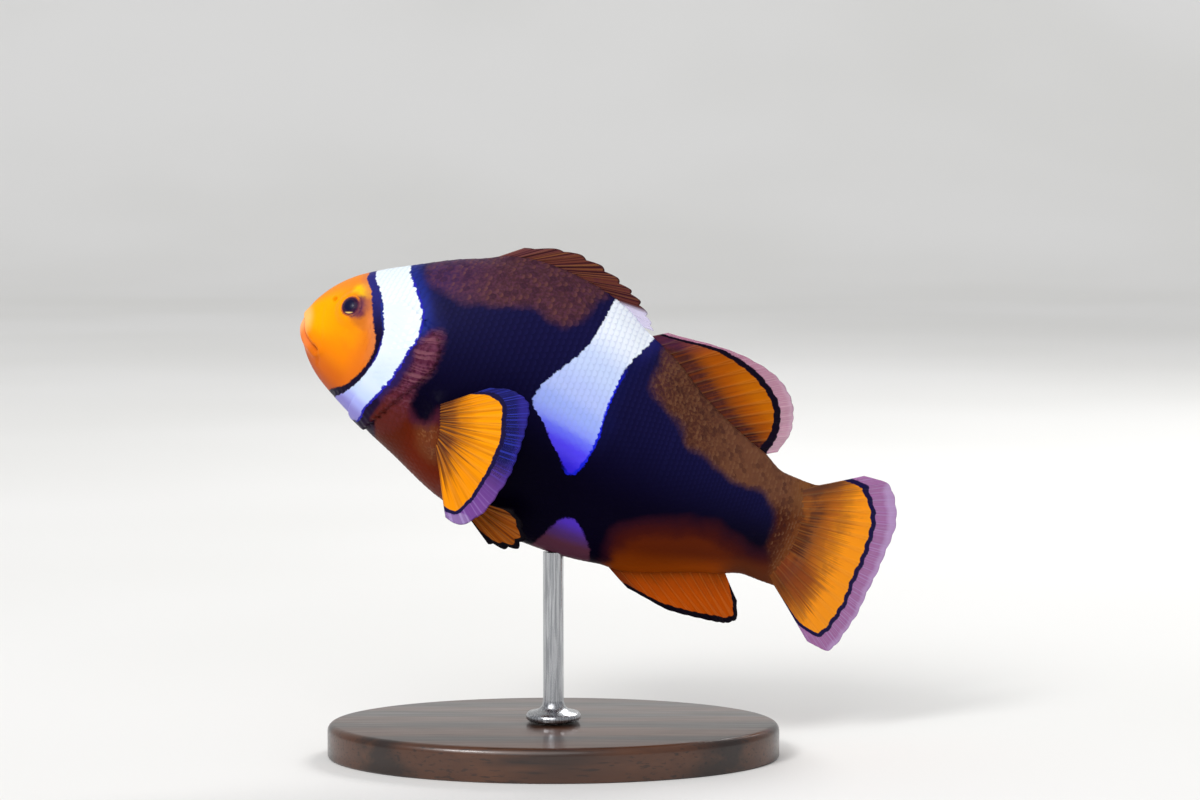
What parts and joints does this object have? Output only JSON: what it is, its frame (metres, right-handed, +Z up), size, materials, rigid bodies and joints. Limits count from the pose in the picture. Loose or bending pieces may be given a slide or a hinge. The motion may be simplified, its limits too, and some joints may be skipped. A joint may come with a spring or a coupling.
{
  "type": "clownfish museum model",
  "caption": "Life-size still model of a black-bodied clownfish with orange face and fins and white bars, head up and curved, on an oval base with a rod.",
  "frame": {"origin": "centre of the underside of the oval base", "axes": "+Z up, +X from the fish's head to its tail along the base's long axis, -Y on the fish's left side"},
  "size_m": [0.0885, 0.042, 0.0742],
  "materials": {
    "face": "satin orange skin with fine scales",
    "gill_cover": "satin skin, white bar over orange and brown",
    "flank": "satin black scaled skin with a white bar",
    "eye": "clear gloss over dark iris",
    "fin": "satin orange membrane with dark edge line",
    "dark_fin": "satin dark brown membrane",
    "stand_base": "dark satin lacquer",
    "stand_rod": "brushed"
  },
  "bodies": {
    "root": {"lower_jaw": "face", "head": "face", "trunk": "flank", "tail_stem": "flank", "gill_cover_left": "gill_cover", "gill_cover_right": "gill_cover", "eye_left": "eye", "eye_right": "eye", "dorsal_fin_spiny": "dark_fin", "dorsal_fin_soft": "fin", "anal_fin": "fin", "tail_fin": "fin", "pectoral_fin_left": "fin", "pectoral_fin_right": "fin", "pelvic_fin_left": "dark_fin", "pelvic_fin_right": "dark_fin", "stand_base": "stand_base", "stand_rod": "stand_rod"}
  },
  "joints": []
}
